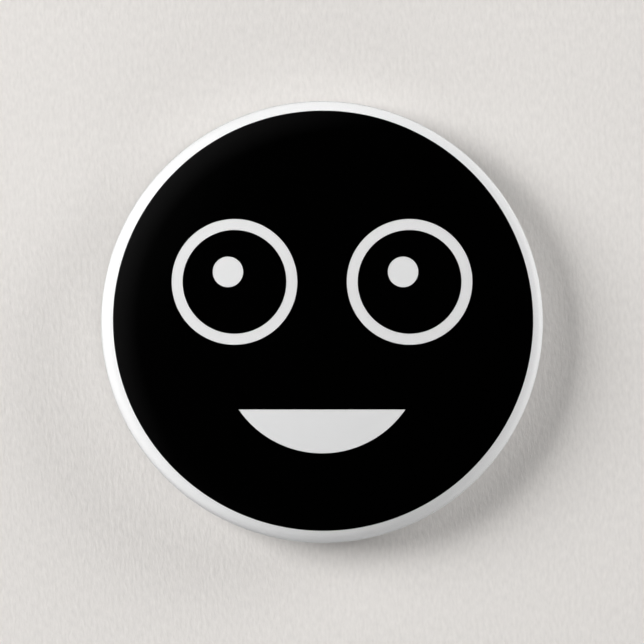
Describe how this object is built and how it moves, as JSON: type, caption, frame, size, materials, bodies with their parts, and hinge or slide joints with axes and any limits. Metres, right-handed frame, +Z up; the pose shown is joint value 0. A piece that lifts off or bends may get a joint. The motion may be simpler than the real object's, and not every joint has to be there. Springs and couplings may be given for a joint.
{
  "type": "button badge",
  "caption": "Round domed pin-back button badge: clear film over a plain printed smiling face, crimped on a tinplate shell and back plate, with a sprung pin and wire catch.",
  "frame": {"origin": "on the badge's axis, in the plane of the rim's back edge, which lies against the cloth", "axes": "+Y out of the back, into the cloth; +Z up, towards the top of the printed face; the face looks along -Y, and +X is to its viewer's right"},
  "size_m": [0.0572, 0.0086, 0.0572],
  "materials": {
    "clear_film": "clear gloss polyester film",
    "white_paper": "smooth coated",
    "black_ink": "dense printed black",
    "tinplate": "bright tinplate, lightly scratched",
    "plated_wire": "nickel-plated spring wire"
  },
  "bodies": {
    "badge": {"film_cover": "clear_film", "printed_paper": "white_paper", "face_print": "black_ink", "left_eye_print": "black_ink", "right_eye_print": "black_ink", "front_shell": "tinplate", "back_plate": "tinplate", "pin_base_wire": "plated_wire", "pin_spring_coil": "plated_wire"},
    "pin": {"pin_arm": "plated_wire"}
  },
  "joints": [
    {"name": "pin_hinge", "type": "hinge", "parent": "badge", "child": "pin", "pos_m": [0.0165, -0.00026, 0.00403], "axis": [0, 0.7071, -0.7071], "range_deg": [0, 35], "stiffness_Nm_per_rad": 0.15, "deforming": ["pin_spring_coil"]}
  ]
}
